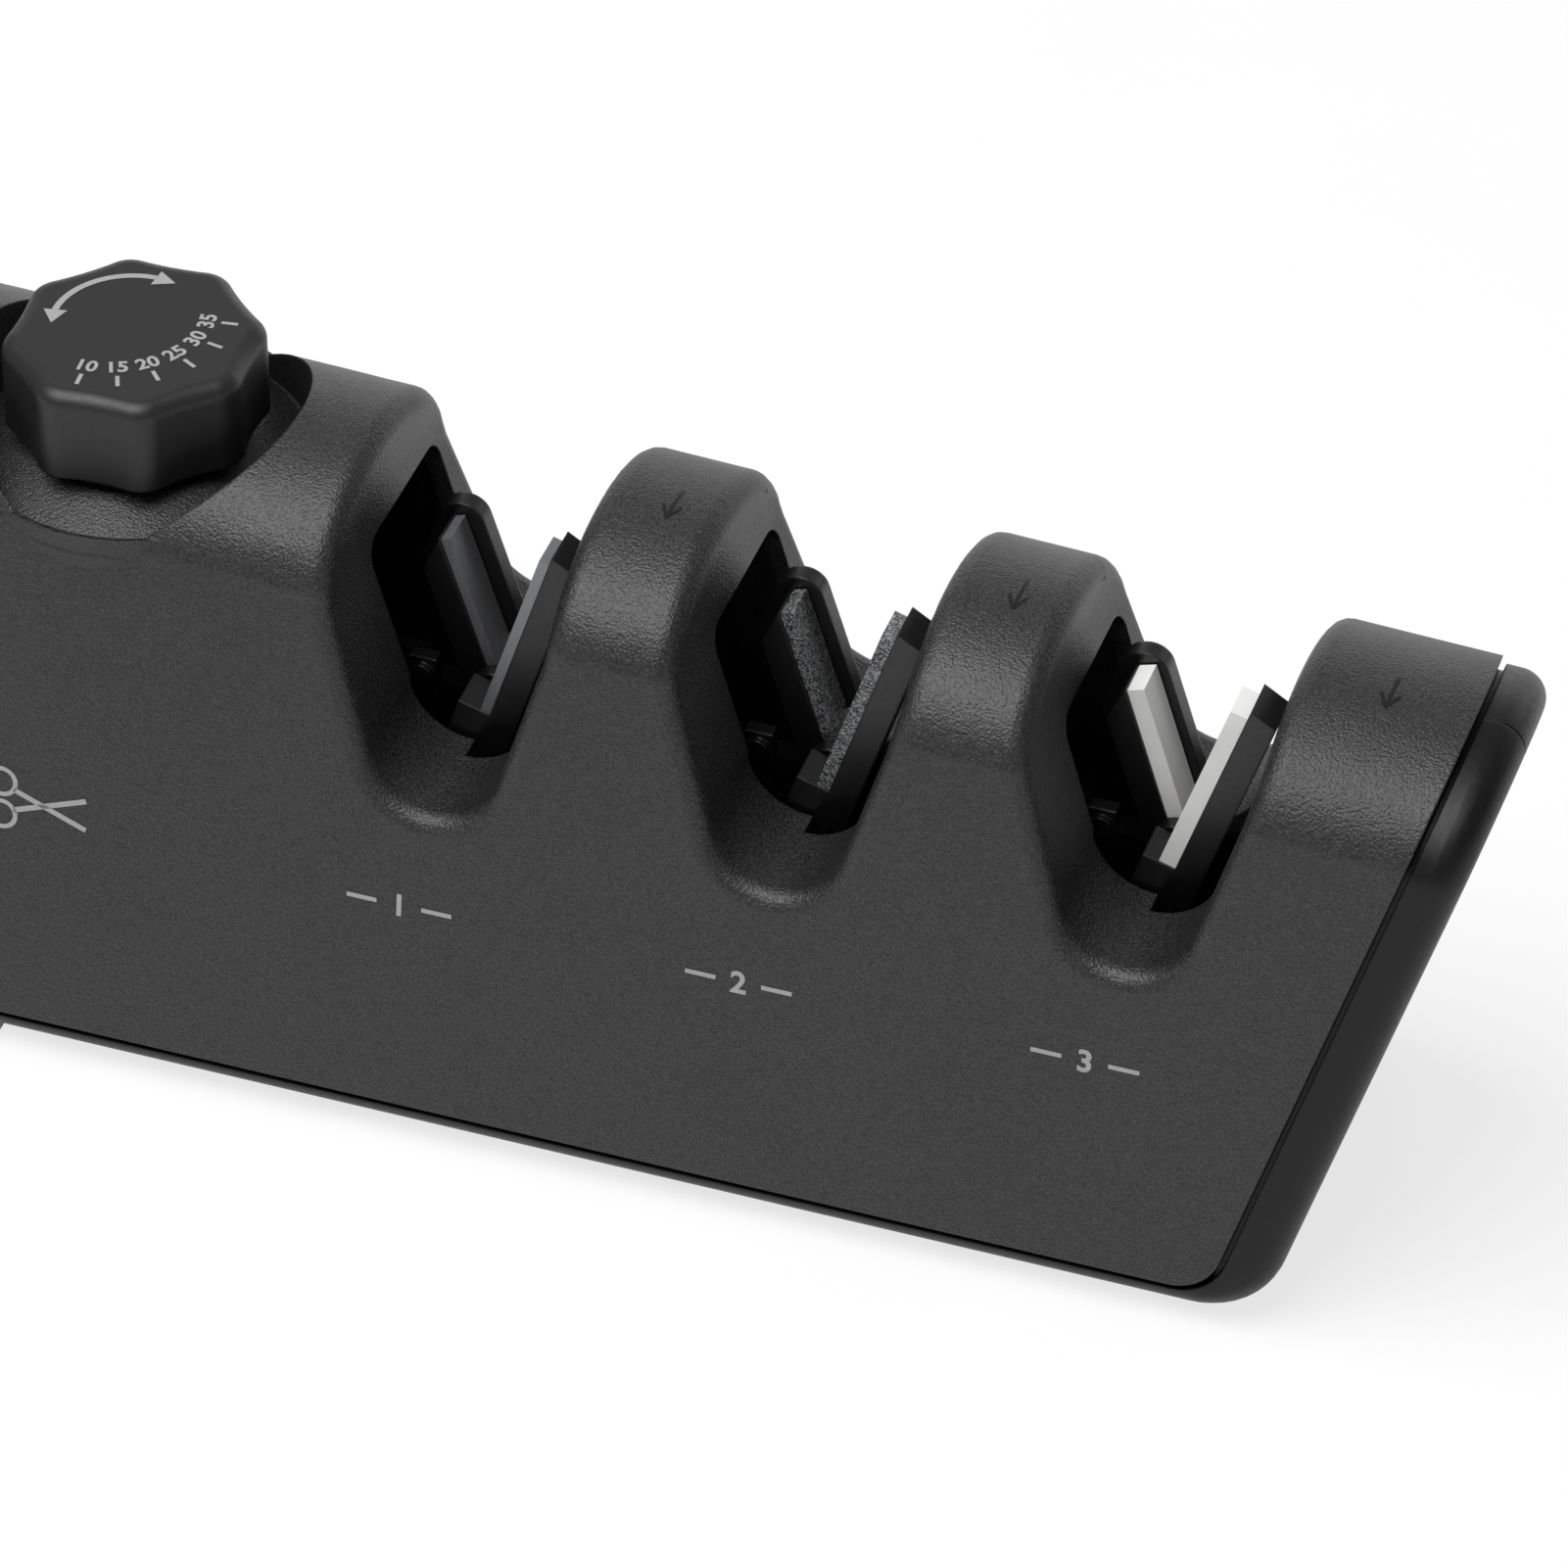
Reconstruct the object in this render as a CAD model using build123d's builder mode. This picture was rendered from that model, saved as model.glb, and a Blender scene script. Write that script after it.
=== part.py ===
from build123d import *
from math import asin, atan, cos, degrees, radians, sin, tan
import os

# Manual knife sharpener with three angled knife slots, an angle knob and a scissor slot.
# Frame: millimetres, +Z up, the sharpener rests on Z = 0, X runs from the handle end (-X)
# to the slot end (+X), and the origin is below the middle of its length.

os.makedirs("parts", exist_ok=True)

# Overall lay-out
FOOT_H = 1.5                    # the rubber strips lift the body this much
SLOT_PITCH = 36.0               # distance between knife slots
SLOT_MID_X = 70.5               # middle knife slot
KNOB_X = -3.5                   # axis of the angle knob
SCISSOR_X = -42.0               # scissor slot
BODY_LEFT_X = -62.0             # where the body ends and the handle starts
HANDLE_END_X = -140.9           # tip of the handle
END_BASE_X = 123.3              # outer face of the slot end, at the foot
END_SLOPE = 0.293               # the slot end leans out by this much per millimetre of height

# Cross-section of the body, at the middle knife slot
BASE_HALF = 25.3                # half the depth at the foot
FLANK_LEAN = 0.148              # the front and back faces lean in by this per millimetre
KNEE_Z = 58.3                   # top of the flat faces, above the foot of the body
CREST_RZ = 11.0                 # the crest is part of an ellipse of this half height
CREST_Z = 56.0                  # height of that ellipse's centre
KNEE_ROUND = 2.5                # softening of the line between flank and crest
SOFT_KNEE_ROUND = 5.0           # the same on the trim and inside
CREST_FALL = 0.0383             # the crest falls towards the slot end by this per millimetre
WALL = 2.4                      # wall of the mouldings
SEAM = 0.7                      # open joint between the casing and the trim round it
FINE_SEAM = 0.2                 # joint between the other mouldings
TRIM_H = 2.6                    # height of the base strip under the casing
TRIM_T = 5.35                   # thickness of the slot end's cover
TRIM_DROP = 0.9                 # the cover's crest lies this much below the casing's
END_WALL = 3.0                  # its outer wall
TONGUE_IN = 0.8                 # a tongue on the cover fills the seam this far below the surface
TONGUE_W = 2.4
TONGUE_GAP = 0.05               # it ends this far short of the casing
CAP_SEAM_Y = -0.6               # joint between the cover's front part and the cap behind it
CAP_LOW_Z = 20.0                # lower edge of that cap
FOOT_CORNER = 9.0               # rounding of the slot end's lower edge
CASING_CORNER = 6.0             # rounding of the casing's lower corner beside that end
END_ROUND = 3.0                 # rounding round the rest of the slot end

# Knife slots
SLOT_BOTTOM_Z = 37.4            # lowest point of the V, above the foot of the body
SLOT_R = 7.0                    # its round bottom
SLOT_FLANK = 16.0               # slope of its walls from upright, degrees
SLOT_BEND_Z = 55.5              # above this height the walls bend upright
SLOT_BEND_R = 25.0
SLOT_TOP_FLANK = 2.0            # slope they reach
SLOT_RIM = 2.0                  # rounding of the notch's rim
SLOT_WALL = 2.0
PIVOT_Z = 39.0                  # the abrasive holders turn here
FIN_T = 1.6                     # bearing fin between the two holders of a slot

# Abrasive holders and plates
REST_ANGLE = 17.5               # half of 35 degrees, the setting as drawn
MIN_ANGLE = 5.0                 # half of 10 degrees
RIGHT_ARM_TOP = 24.8            # end of a right holder's arm, from the pivot
LEFT_ARM_TOP = 18.2
RIGHT_ARM_DROP = 0.8            # the arm's outer side ends this much lower
LEFT_ARM_DROP = 3.6
ARM_T = 3.0                     # thickness of the arm behind the plate
HOLDER_W = 4.7                  # width of a holder along Y
RIM_T = 2.0                     # the left holder's rim behind its plate
RIM_TOP = 19.1
RIM_IN = 1.85                   # it stands this far to the plate's side of the middle plane
RIM_OUT = 6.4                   # and this far to the other side
RIM_SHOULDER = 12.9             # where its sloping outer edge begins
RIM_PEAK = 2.2                  # the slope ends this far outside the middle plane
RIM_ROUND = 2.4
RIM_FOOT = 2.9
HOLDER_GAP = 0.3                # running gap beside the fin
PLATE_TS = (1.1, 1.4, 1.8)      # thickness of the coarse, medium and fine plates
PLATE_BACK = 0.9                # their backs lie this far from the holder's middle plane
PLATE_W = 4.2                   # width of a plate along Y
PLATE_FOOT = 1.9                # where it starts above the pivot
RIGHT_PLATE_TOP = 23.6
LEFT_PLATE_TOP = 17.8
PLATE_GAP = 0.3                 # the plate stands back from the holder's inner side by this
PIN_D = 3.0                     # follower and drive pins
PIVOT_D = 2.4                   # pivot pins
PIN_CAP = 1.0                   # material left over the pivot pin's ends
PIN_FLOAT = 0.1
RUN = 0.08                      # radial running clearance of pins and shafts
TAIL_REACH = 12.0               # slide pins stand this far below the pivots
TAIL_END = 15.8
KNUCKLE_R = 2.6

# Slides and cam
SLIDE_T = 2.8
SLIDE_Y = 7.5                   # inner face of each slide
SLIDE_H = 10.0
CAM_R = 12.5
CAM_T = 4.0
CAM_Z = 38.0                    # underside of the cam, above the foot of the body
CAM_START = 6.0                 # radius of the spiral slot where the setting is 35
KNOB_TURN = 97.2                # full turn of the knob, degrees
SHAFT_D = 8.0

# Knob and its well
KNOB_R = 14.2                   # over the corners of the eight-sided grip, at its underside
KNOB_WAIST = 12.2               # radius to the hollow of each of its sides there
KNOB_TOP_R = 13.7               # the same at its top
KNOB_TOP_WAIST = 12.3
KNOB_H = 10.1                   # height of the grip
KNOB_STAND = 4.1                # its underside stands this far above the well's floor
WELL_R = 17.6
WELL_FLOOR_Z = 60.6
WELL_GROOVE = 0.9               # width and depth of the groove round the well's floor
WELL_DOME_H = 2.4               # the well's floor rises by this towards the knob's collar
DOME_GAP = 0.5                  # radial gap between that rise and the collar
WELL_RING_Z = 62.3              # top of the ring round the well, where it stands out of the crest
WELL_RING_T = 0.7
WELL_RING_H = 5.5
WELL_RING_TAPER = 14.0
KNOB_CLOCK = 2.5                # the knob's corners stand this far past 22.5 degrees

# Scissor slot
SCISSOR_W = 4.6
SCISSOR_FLOOR_Z = 40.0
ROD_D = 3.0
ROD_TILT = 32.0                 # the two rods cross the slot at this angle from upright
ROD_APART = 0.8                 # they clear the middle plane by this
ROD_MID_H = 8.5                 # their middle above the slot's floor
INSERT_STEM_W = 12.0            # width of the insert's stem along Y
INSERT_W = 20.0                 # width of its head
INSERT_DEEP = 6.0               # its head starts this far below the slot's floor
INSERT_HEAD_H = 24.0

# Handle; its points along X are measured from the body's left end
HANDLE_HALF = 15.0              # half its depth
HANDLE_ROUND = 6.5
HANDLE_TIP_R = 14.5
HANDLE_TIP_Z = 45.0
HANDLE_ROOT_Z = 14.0            # its underside meets the body here, at 45 degrees
HANDLE_TOP_Z = 66.0             # its top meets the body here
HANDLE_DIP_X = 32.0             # a point of its top
HANDLE_DIP_Z = 61.5
ARCH_FAR_X = 44.0               # two points of its underside
ARCH_FAR_Z = 29.4
ARCH_NEAR_X = 22.0
ARCH_NEAR_Z = 30.5
BOSS_NEAR_X = 10.0              # its screw bosses, the last one measured from the tip
BOSS_MID_X = 42.0
BOSS_TIP_X = 10.8
BOSS_RISE = 2.0                 # the middle boss is this much higher
BOSS_INSET = 1.0                # the bosses end this far inside the sides
BORE_END = 5.0                  # material left beyond the screw bores
GRIP_T = 2.4
GRIP_LEFT_X = -130.0
GRIP_RIGHT_X = -80.0
GRIP_SPLIT_Z = 40.0
HANDLE_SKIN = 5.0               # wall of the handle, with room for the grip
HEAD_SINK = 4.0

# Lengths that only have to reach past the body
SPAN = 120.0
BELOW = 12.0
RUN_OUT = 250.0
NOTCH_REACH = 14.0

# Inner parts
MERGE = 0.5                     # features of one moulding overlap by this
POST_R = 3.5                    # screw posts inside the casing
POST_INSET = 7.3                # they stand this far inside the body's foot
POST_FROM_END = 8.0             # the left ones stand this far from the body's left end
SHAFT_TUBE_GAP = 0.4            # the tube round the shaft ends this far above the cam
POST_TOP_Z = 28.0
WINDOW_REACH = 16.0             # how far the wall openings are cut from the slot's middle
WINDOW_TOP_Z = 57.5             # top of the wall openings at the middle slot
WINDOW_NEAR = 5.8               # they reach this far to their own holder's other side
WINDOW_FAR = 13.4               # and this far to its own side
WINDOW_ROUND = 2.5
WINDOW_STEP_Z = 44.0            # below this height they are narrower
WINDOW_LOW_FAR = 9.0
WINDOW_LOW_Z = 30.0
KNOB_LIFT = 0.2                 # the knob's collar turns this far above the well's floor
FOOT_GAP = 0.5                  # room beside the holders' feet in the notch's bottom
STUD_X = -7.7                   # stop stud beside the fin, from the slot's middle
STUD_W = 3.0
STUD_TOP_Z = 41.8
STUD_BOSS_Z = 40.0
STUD_BOSS_D = 2.4
STUD_BOSS_T = 0.7
CHASSIS_T = 2.5
CHASSIS_INSET = 12.0            # it stays this far inside the body's foot, front and back
CHASSIS_LEFT = 4.0
FIN_FOOT = 6.0                  # half the fin's length at its foot
GUIDE_DROP = 1.5                # the guides end this far below the slides' top
GUIDE_L = 8.0
GUIDE_INNER = 4.6
SLIDE_GAP = 0.15
TAB_HALF = 2.5                  # the tab that carries a slide's follower pin
TAB_T = 3.0
STEM_SQUARE = 5.0
DIAL_STEPS = 6                  # settings 10, 15, 20, 25, 30 and 35
NOTCH_R = 1.0
NOTCH_OUT = 0.4                 # the notches' centres lie this far outside the cam's rim
CAM_MARGIN = 2.0                # the spiral slots run this many degrees past the settings
LEAF_W = 6.0
TAIL_W = 4.8
LEAF_GAP = 0.6                  # the leaf stands this far outside the cam's rim
NIB_R = 0.55                    # its nib
NIB_INSET = 0.5                 # the nib is this much shorter than the cam at both ends
KNOB_CORNER = 3.4
KNOB_ROUND = 1.7
COLLAR_R = 10.5
STEM_FIT = 0.1                  # the square stem is this much smaller than its hole
STEM_SHORT = 0.2
FOLLOWER_SHORT = 0.3            # the follower pins end this far below the cam's top
DRIVE_SHORT = 0.9               # the drive pins end this far inside the holders
DRIVE_PLAY = 0.15               # end play in the holders' drive slots
INSERT_X = 20.0
ROD_L = 15.0
LEFT_FOOT_X = -31.0
LEFT_FOOT_L = 37.0
RIGHT_FOOT_X = 104.0
RIGHT_FOOT_L = 22.0
LEFT_FOOT_INSET = 0.4           # how far the strips stay inside the body's foot, front and back
RIGHT_FOOT_INSET = 6.3
STRIP_CORNER = 1.5
LEAF_T = 0.8

# Fasteners
SCREW_D = 3.0
SCREW_LENGTH = 10.0
SCREW_HEAD_D = 5.6
SCREW_HEAD_H = 1.8
HEAD_ROOM = 0.3                 # radial room round a sunk head
SEAT_DEEP = 1.2                 # the heads seat this far above the base frame's underside
SCREW_SHORT = 0.3               # the chassis screws end this far below its floor's top
TIP_ROOM = 1.0                  # room beyond the cam screw's tip
CROSS_L = 3.5                   # the cross in the heads
CROSS_W = 0.7
CROSS_DEEP = 0.9

slide_travel = TAIL_REACH * (tan(radians(REST_ANGLE)) - tan(radians(MIN_ANGLE)))
slot_xs = [SLOT_MID_X + n * SLOT_PITCH for n in (-1, 0, 1)]
slot_arc_z = SLOT_BOTTOM_Z + SLOT_R
pivot_level = FOOT_H + PIVOT_Z
pin_level = pivot_level - TAIL_REACH
body_floor = FOOT_H + TRIM_H
slide_low = pin_level - SLIDE_H / 2
slide_top = slide_low + SLIDE_H
guide_top = slide_top - GUIDE_DROP
cam_low = FOOT_H + CAM_Z
cam_top = cam_low + CAM_T
well_floor = FOOT_H + WELL_FLOOR_Z
knob_skirt = well_floor + KNOB_STAND
scissor_floor = FOOT_H + SCISSOR_FLOOR_Z
chassis_top = body_floor + CHASSIS_T
chassis_half = BASE_HALF - CHASSIS_INSET
holder_near = FIN_T / 2 + HOLDER_GAP
holder_far = holder_near + HOLDER_W
pin_half = holder_far - PIN_CAP - PIN_FLOAT
end_angle = degrees(atan(END_SLOPE))
leaf_x = KNOB_X + CAM_R + LEAF_GAP
drive_slot_mid = TAIL_REACH * (1 / cos(radians(REST_ANGLE)) + 1 / cos(radians(MIN_ANGLE))) / 2
drive_slot_run = TAIL_REACH * (1 / cos(radians(REST_ANGLE)) - 1 / cos(radians(MIN_ANGLE))) + DRIVE_PLAY
handle_bosses = [
    (BODY_LEFT_X - BOSS_NEAR_X, HANDLE_TIP_Z), (BODY_LEFT_X - BOSS_MID_X, HANDLE_TIP_Z + BOSS_RISE),
    (HANDLE_END_X + BOSS_TIP_X, HANDLE_TIP_Z)]
CHASSIS_RIGHT = slot_xs[2] + 6.8
SLIDE_RIGHT = slot_xs[2] + 8.0
TAB_Y = SLIDE_Y + SLIDE_T + TAB_HALF
guide_xs = [slot_x - SLOT_PITCH / 2 for slot_x in slot_xs]
post_xs = (BODY_LEFT_X + POST_FROM_END, guide_xs[0], guide_xs[2])
post_places = [(x, side * (BASE_HALF - POST_INSET)) for x in post_xs for side in (-1, 1)]
chassis_screws = [(x, 0.0) for x in guide_xs]


def crest_shift(x):
    """How much higher the crest lies at x than at the middle knife slot."""
    return CREST_FALL * (SLOT_MID_X - x)


def body_section(x, inset, low, drop=0.0, knee_round=KNEE_ROUND):
    """The body's cross-section at x as a face in the YZ plane, moved in by inset and down by drop."""
    rise = FOOT_H + crest_shift(x) - drop
    foot_y = BASE_HALF - inset - FLANK_LEAN * low
    knee_y = BASE_HALF - inset - FLANK_LEAN * KNEE_Z
    rz = CREST_RZ - inset
    start = asin((KNEE_Z - CREST_Z) / rz)
    rx = knee_y / cos(start)
    with BuildSketch(Plane.YZ.offset(x)) as section:
        with BuildLine():
            crest = EllipticalCenterArc(
                (0, CREST_Z + rise), rx, rz,
                start_angle=degrees(start), arc_size=180 - 2 * degrees(start))
            Polyline(crest @ 0, (foot_y, low + rise), (-foot_y, low + rise), crest @ 1)
        make_face()
        fillet(section.vertices().group_by(Axis.Y)[-1], radius=knee_round)
    return section.sketch


def end_plane(offset):
    """Sloping plane of the slot end, moved inwards by offset along X."""
    lean = radians(end_angle)
    return Plane(
        origin=(END_BASE_X - offset, 0, FOOT_H), x_dir=(0, 1, 0), z_dir=(cos(lean), 0, -sin(lean)))


def slot_section(x, grow):
    """V section of a knife slot as a face in the XZ plane: a round bottom, walls that bend upright."""
    slope = radians(SLOT_FLANK)
    last = radians(SLOT_TOP_FLANK)
    middle = (slope + last) / 2
    r = SLOT_R + grow
    arc_z = FOOT_H + slot_arc_z
    low = (r * cos(slope), arc_z - r * sin(slope))
    bend_z = FOOT_H + SLOT_BEND_Z
    bend = (low[0] + (bend_z - low[1]) * tan(slope), bend_z)
    path = [
        (bend[0] + SLOT_BEND_R * (cos(t) - cos(slope)), bend_z + SLOT_BEND_R * (sin(slope) - sin(t)))
        for t in (middle, last)]
    with BuildSketch(Plane.XZ.offset(-SPAN / 2)) as section:
        with BuildLine():
            ThreePointArc((x - low[0], low[1]), (x, arc_z - r), (x + low[0], low[1]))
            for side in (1, -1):
                Line((x + side * low[0], low[1]), (x + side * bend[0], bend_z))
                ThreePointArc((x + side * bend[0], bend_z), *[(x + side * u, z) for u, z in path])
                Line((x + side * path[1][0], path[1][1]), (x + side * path[1][0], SPAN))
            Line((x - path[1][0], SPAN), (x + path[1][0], SPAN))
        make_face()
    return section.sketch


def casing_area(gap):
    """Side area of the upper casing, moved in by gap at the floor and at the slot end."""
    foot_x = END_BASE_X - TRIM_T - gap
    floor_z = body_floor + gap
    with BuildSketch(Plane.XZ.offset(-SPAN / 2)) as area:
        with BuildLine():
            Polyline(
                (-SPAN, floor_z), (foot_x + END_SLOPE * (floor_z - FOOT_H), floor_z),
                (foot_x + END_SLOPE * (SPAN - FOOT_H), SPAN), (-SPAN, SPAN), close=True)
        make_face()
        fillet(area.vertices().group_by(Axis.Y)[0].sort_by(Axis.X)[-1], radius=CASING_CORNER - gap)
    return area.sketch


def window_section(slot_x, side):
    """Opening in a slot's wall as a face in the YZ plane; side is -1 for the left wall, 1 for the right."""
    near = side * WINDOW_NEAR
    far = -side * WINDOW_FAR
    low_far = -side * WINDOW_LOW_FAR
    top = FOOT_H + WINDOW_TOP_Z + crest_shift(slot_x)
    step = FOOT_H + WINDOW_STEP_Z
    low = FOOT_H + WINDOW_LOW_Z
    with BuildSketch(Plane.YZ.offset(slot_x)) as window:
        with BuildLine():
            Polyline(
                (near, low), (near, top), (far, top), (far, step), (low_far, step), (low_far, low),
                close=True)
        make_face()
        fillet(window.vertices().group_by(Axis.Y)[-1], radius=WINDOW_ROUND)
    return window.sketch


def tilted(x, y, angle):
    """Plane facing the front, at a slot's pivot, with its upright axis tilted towards +X."""
    turn = radians(angle)
    return Plane(origin=(x, y, pivot_level), x_dir=(cos(turn), 0, -sin(turn)), z_dir=(0, -1, 0))


def spiral_point(turned, beside):
    """Point beside the first cam slot's centre line, in the cam's own frame, after so many degrees."""
    radius = CAM_START + slide_travel * turned / KNOB_TURN + beside
    return (radius * cos(radians(turned)), -radius * sin(radians(turned)))


def spiral_slot_outline():
    """Outline of a cam slot of constant width along the spiral, in the cam's own frame."""
    half = PIN_D / 2 + RUN
    turns = [-CAM_MARGIN + (KNOB_TURN + 2 * CAM_MARGIN) * n / 8 for n in range(9)]
    outer = [spiral_point(t, half) for t in turns]
    inner = [spiral_point(t, -half) for t in turns]
    with BuildLine() as outline:
        Spline(*outer)
        ThreePointArc(outer[-1], spiral_point(turns[-1] + degrees(half / CAM_START) * 0.7, 0), inner[-1])
        Spline(*reversed(inner))
        ThreePointArc(inner[0], spiral_point(turns[0] - degrees(half / CAM_START), 0), outer[0])
    return outline.line


def grip_section(level, corner_r, waist_r):
    """The knob's eight-sided grip with hollow sides as a face at one level."""
    corners = [
        (corner_r * cos(radians(a)), corner_r * sin(radians(a)))
        for a in [22.5 + KNOB_CLOCK + 45 * n for n in range(8)]]
    waists = [
        (waist_r * cos(radians(a)), waist_r * sin(radians(a)))
        for a in [45 + KNOB_CLOCK + 45 * n for n in range(8)]]
    with BuildSketch(Plane((KNOB_X, 0, level))) as section:
        with BuildLine():
            for n in range(8):
                ThreePointArc(corners[n], waists[n], corners[(n + 1) % 8])
        make_face()
        fillet(section.vertices(), radius=KNOB_CORNER)
    return section.sketch


def rod_plane(side):
    """Plane through the middle of a scissor rod, square to it; the front rod has side -1."""
    lean = radians(ROD_TILT * side)
    return Plane(
        origin=(SCISSOR_X, side * (ROD_D / 2 + ROD_APART), scissor_floor + ROD_MID_H),
        x_dir=(0, 1, 0), z_dir=(sin(lean), 0, cos(lean)))


def handle_outline(inset):
    """Side outline of the handle, seen from the front, moved in by inset."""
    joint = BODY_LEFT_X - FINE_SEAM - inset
    tip_r = HANDLE_TIP_R - inset
    root_z = HANDLE_ROOT_Z + inset * (1 + 1 / sin(radians(45)))
    tip_x = HANDLE_END_X + HANDLE_TIP_R
    tip_top = (tip_x, HANDLE_TIP_Z + tip_r)
    tip_low = (tip_x, HANDLE_TIP_Z - tip_r)
    with BuildLine() as outline:
        Spline(
            (joint, HANDLE_TOP_Z - inset), (BODY_LEFT_X - HANDLE_DIP_X, HANDLE_DIP_Z - inset), tip_top,
            tangents=[(-1, -0.15), (-1, 0)])
        ThreePointArc(tip_top, (HANDLE_END_X + inset, HANDLE_TIP_Z), tip_low)
        Spline(
            tip_low, (BODY_LEFT_X - ARCH_FAR_X, ARCH_FAR_Z + inset),
            (BODY_LEFT_X - ARCH_NEAR_X, ARCH_NEAR_Z + inset), (joint, root_z),
            tangents=[(1, 0), (1, -1)])
        Line((joint, root_z), (joint, HANDLE_TOP_Z - inset))
    return outline.line


def screw_group(name, seat, places, length):
    """Screws that stand head down, with their heads seated on the plane seat, as one node."""
    with BuildPart() as group:
        with BuildSketch(seat):
            with Locations(*places):
                Circle(SCREW_HEAD_D / 2)
        extrude(amount=-SCREW_HEAD_H)
        with BuildSketch(seat):
            with Locations(*places):
                Circle(SCREW_D / 2)
        extrude(amount=length)
        with BuildSketch(seat.offset(-SCREW_HEAD_H)):
            with Locations(*places):
                Rectangle(CROSS_L, CROSS_W)
                Rectangle(CROSS_W, CROSS_L)
        extrude(amount=CROSS_DEEP, mode=Mode.SUBTRACT)
    group.part.label = name
    export_step(group.part, f"parts/{name}.step")


# Whole outer form of the body, from which the mouldings are cut
with BuildPart() as body_form:
    extrude(body_section(BODY_LEFT_X, 0.0, -BELOW), amount=RUN_OUT, dir=(1, 0, -CREST_FALL))
    split(bisect_by=end_plane(0), keep=Keep.BOTTOM)
    split(bisect_by=Plane.XY.offset(FOOT_H), keep=Keep.TOP)

# Outer form of the trim: base strip and slot end
with BuildPart() as trim_form:
    extrude(
        body_section(BODY_LEFT_X, 0.0, -BELOW, TRIM_DROP, SOFT_KNEE_ROUND), amount=RUN_OUT,
        dir=(1, 0, -CREST_FALL))
    split(bisect_by=end_plane(0), keep=Keep.BOTTOM)
    split(bisect_by=Plane.XY.offset(FOOT_H), keep=Keep.TOP)
    end_edge = trim_form.edges().filter_by(Axis.Y).group_by(Axis.Z)[0].sort_by(Axis.X)[-1]
    fillet(end_edge, radius=FOOT_CORNER)
    end_faces = [
        face for face in trim_form.faces()
        if face.center().X > END_BASE_X - FOOT_CORNER and abs(face.normal_at().Y) < 0.05
        and face.normal_at().Z > -0.999 and face.center().Z < KNEE_Z]
    end_edges = [
        edge for face in end_faces for edge in face.edges()
        if abs(edge.center().Y) > 1 or edge.center().Z > KNEE_Z]
    fillet(end_edges, radius=END_ROUND)

# The same form, one wall thickness inside
with BuildPart() as inner_form:
    extrude(
        body_section(BODY_LEFT_X + WALL, WALL, -BELOW, 0.0, SOFT_KNEE_ROUND), amount=RUN_OUT,
        dir=(1, 0, -CREST_FALL))

# The form with its three V notches, their rims rounded
with BuildPart() as notched_form:
    add(body_form.part)
    for slot_x in slot_xs:
        extrude(slot_section(slot_x, 0.0), amount=SPAN, mode=Mode.SUBTRACT)
    notch_faces = [
        face for face in notched_form.faces()
        if min(abs(face.center().X - slot_x) for slot_x in slot_xs) < NOTCH_REACH
        and face.center().Z > FOOT_H + SLOT_BOTTOM_Z - 3
        and abs(face.center().Y) < 3 and abs(face.normal_at().Y) < 0.02
        and (abs(face.normal_at().X) > 0.5 or face.center().Z < FOOT_H + SLOT_BEND_Z)]
    rims = [
        edge for face in notch_faces for edge in face.edges()
        if not (edge.geom_type == GeomType.LINE and edge.bounding_box().size.Y > 10)]
    fillet(rims, radius=SLOT_RIM)

# Room inside the upper casing
with BuildPart() as cavity:
    add(inner_form.part)
    split(bisect_by=end_plane(TRIM_T + SEAM + WALL), keep=Keep.BOTTOM)
    for slot_x in slot_xs:
        extrude(slot_section(slot_x, SLOT_WALL), amount=SPAN, mode=Mode.SUBTRACT)
    with BuildSketch(Plane.XY.offset(well_floor - WALL)):
        with Locations((KNOB_X, 0)):
            Circle(WELL_R + WALL)
    extrude(amount=SPAN, mode=Mode.SUBTRACT)
    with BuildSketch(Plane.XY.offset(cam_top + SHAFT_TUBE_GAP)):
        with Locations((KNOB_X, 0)):
            Circle(SHAFT_D / 2 + RUN + WALL)
    extrude(amount=SPAN, mode=Mode.SUBTRACT)
    with BuildSketch(Plane.XY):
        with Locations(*post_places):
            Circle(POST_R)
    extrude(amount=POST_TOP_Z, mode=Mode.SUBTRACT)

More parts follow.
